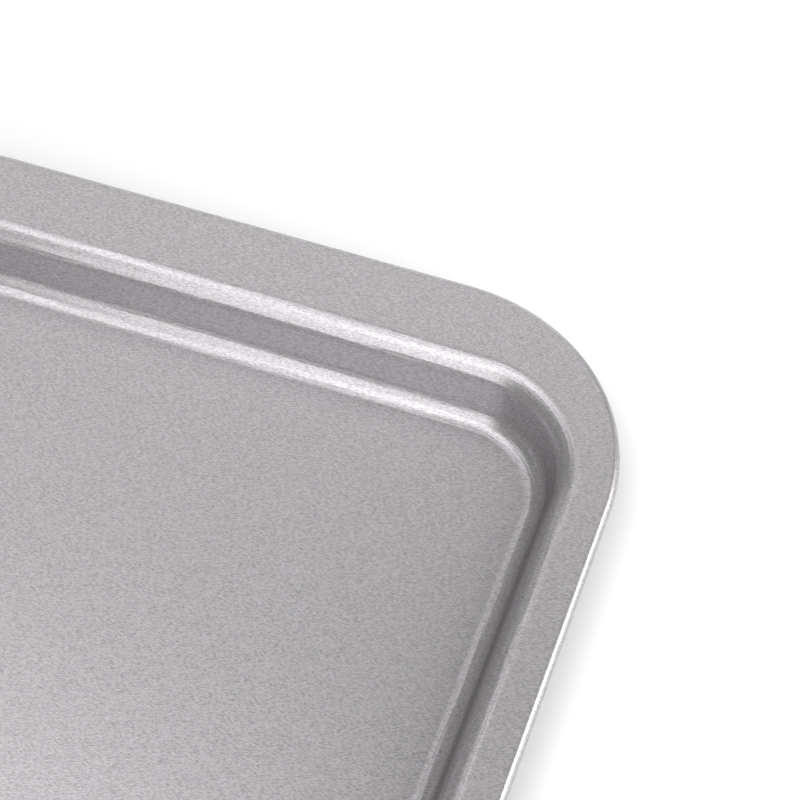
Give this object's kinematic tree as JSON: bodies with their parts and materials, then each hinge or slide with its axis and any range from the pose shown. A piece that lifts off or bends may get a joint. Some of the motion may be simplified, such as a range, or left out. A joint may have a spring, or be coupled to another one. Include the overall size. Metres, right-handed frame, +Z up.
{
  "type": "cookie sheet",
  "caption": "Shallow rectangular baking tray with a flat floor, low sloping walls, round corners, a flat rim wider at its ends, and a rolled edge.",
  "frame": {"origin": "middle of the flat underside", "axes": "+X along a long side, +Y along a short side, +Z up, out of the tray"},
  "size_m": [0.438, 0.292, 0.0203],
  "materials": {
    "steel_sheet": "pressed carbon steel with a thin satin grey back coat",
    "coating": "silver-grey metallic release coating, satin, with a fine short grain",
    "wire": "plain drawn steel wire"
  },
  "bodies": {
    "root": {"pan_sheet": "steel_sheet", "release_coating": "coating", "rim_wire": "wire"}
  },
  "joints": []
}
